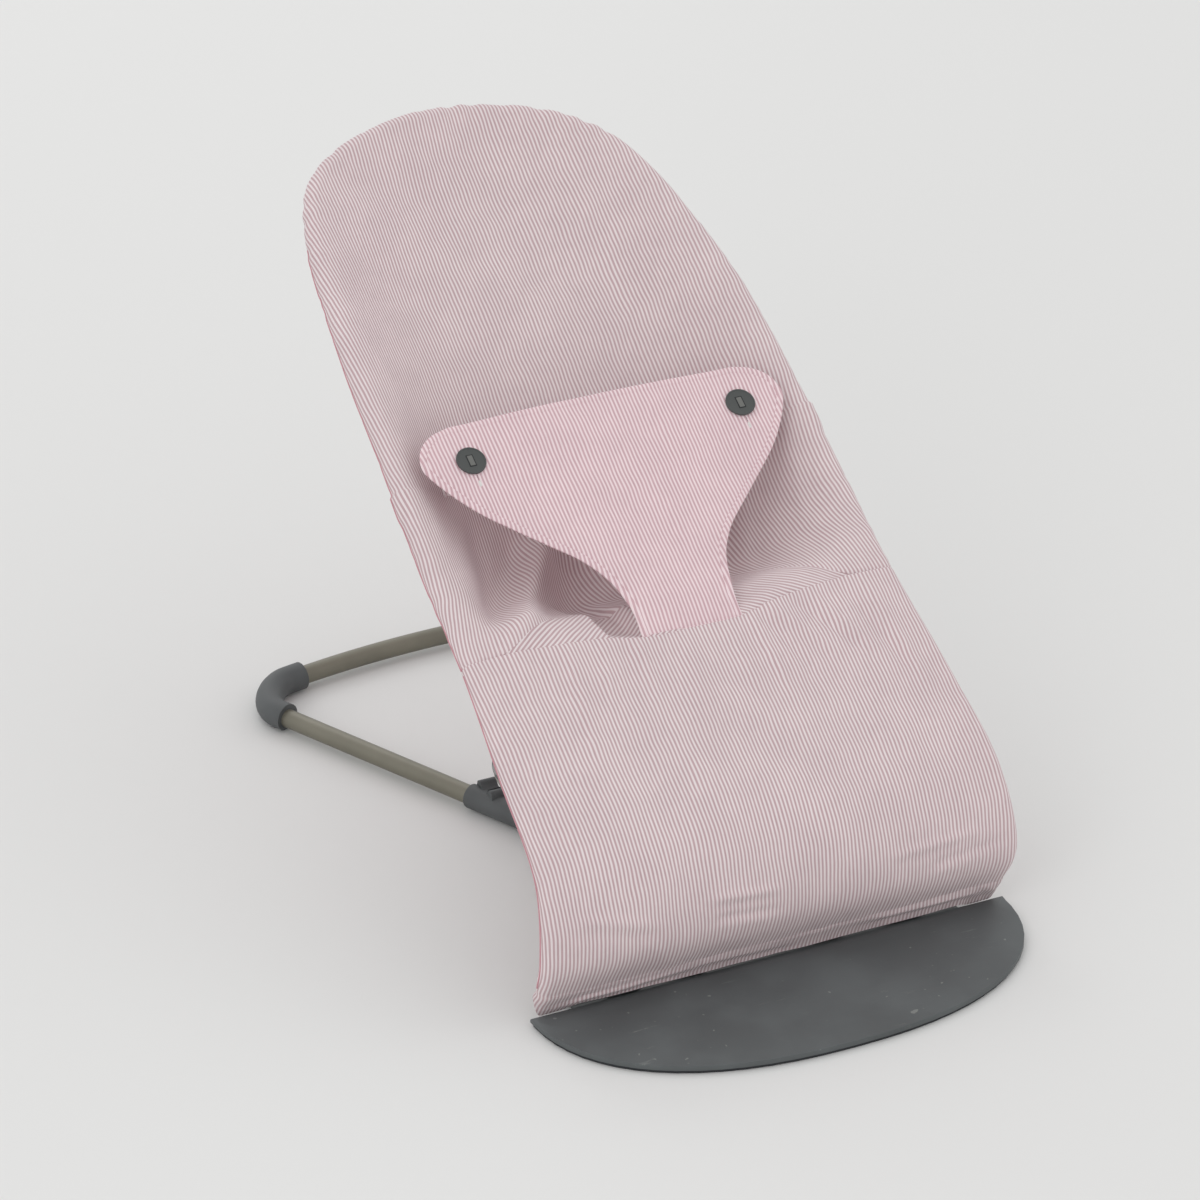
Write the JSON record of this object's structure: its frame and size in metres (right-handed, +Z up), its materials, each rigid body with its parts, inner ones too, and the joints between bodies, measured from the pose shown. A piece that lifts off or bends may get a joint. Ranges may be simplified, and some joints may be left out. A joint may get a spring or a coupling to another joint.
{
  "type": "bouncer seat",
  "caption": "Reclining baby bouncer with a sprung tube frame, striped sling cover, buttoned restraint, wire support and a D-shaped footplate.",
  "frame": {"origin": "on the floor, under the middle of the whole seat's box in the middle recline position", "axes": "+X to the seated child's left, +Y from the footplate to the head, +Z up"},
  "size_m": [0.3908, 0.7062, 0.4647],
  "materials": {
    "plate_plastic": "fine matte moulding, scuffed",
    "rubber": "matte rubber",
    "steel": "plain zinc-plated steel",
    "moulding": "matte moulded grey plastic",
    "tube_paint": "satin taupe powder coat",
    "fabric": "woven cotton, fine pink and white pinstripe",
    "button": "matte dark grey button"
  },
  "bodies": {
    "base": {"footplate": "plate_plastic", "footplate_sole": "rubber", "left_hinge_clamp": "moulding", "right_hinge_clamp": "moulding", "clamp_screw_1": "steel", "clamp_screw_2": "steel", "clamp_screw_3": "steel", "clamp_screw_4": "steel", "left_side_tube": "tube_paint", "right_side_tube": "tube_paint", "left_corner_cap": "moulding", "right_corner_cap": "moulding", "left_rear_foot": "rubber", "right_rear_foot": "rubber", "rear_bar": "tube_paint", "left_notched_sleeve": "moulding", "right_notched_sleeve": "moulding"},
    "seat": {"front_bar": "tube_paint", "left_sprung_leg": "tube_paint", "right_sprung_leg": "tube_paint", "left_support_bracket": "tube_paint", "right_support_bracket": "tube_paint", "left_pivot_pin": "steel", "right_pivot_pin": "steel", "leg_panel": "fabric"},
    "back": {"head_loop": "tube_paint", "pocket_front": "fabric", "pocket_cloth": "fabric", "hammock": "fabric", "edge_hem": "fabric", "left_button_tab": "fabric", "right_button_tab": "fabric"},
    "support": {"left_support_strut": "tube_paint", "right_support_strut": "tube_paint", "left_foot_grip": "moulding", "right_foot_grip": "moulding", "support_crossbar": "tube_paint"},
    "restraint": {"restraint_bib": "fabric", "left_button": "button", "right_button": "button"}
  },
  "joints": [
    {"name": "recline", "type": "hinge", "parent": "base", "child": "seat", "pos_m": [0, -0.21607, 0.0135], "axis": [1, 0, 0], "range_deg": [-33, 11]},
    {"name": "bounce", "type": "hinge", "parent": "seat", "child": "back", "pos_m": [0, -0.07907, 0.214], "axis": [1, 0, 0], "range_deg": [-4, 4], "stiffness_Nm_per_rad": 90, "springref_deg": 0.7},
    {"name": "support_fold", "type": "hinge", "parent": "seat", "child": "support", "pos_m": [0, -0.13271, 0.16316], "axis": [1, 0, 0], "range_deg": [-17, 50.5]},
    {"name": "restraint_open", "type": "hinge", "parent": "back", "child": "restraint", "pos_m": [0, -0.09867, 0.22342], "axis": [1, 0, 0], "range_deg": [0, 165]}
  ],
  "couplings": [
    {"joint": "support_fold", "follows": "recline", "ratio": -1.5157}
  ]
}
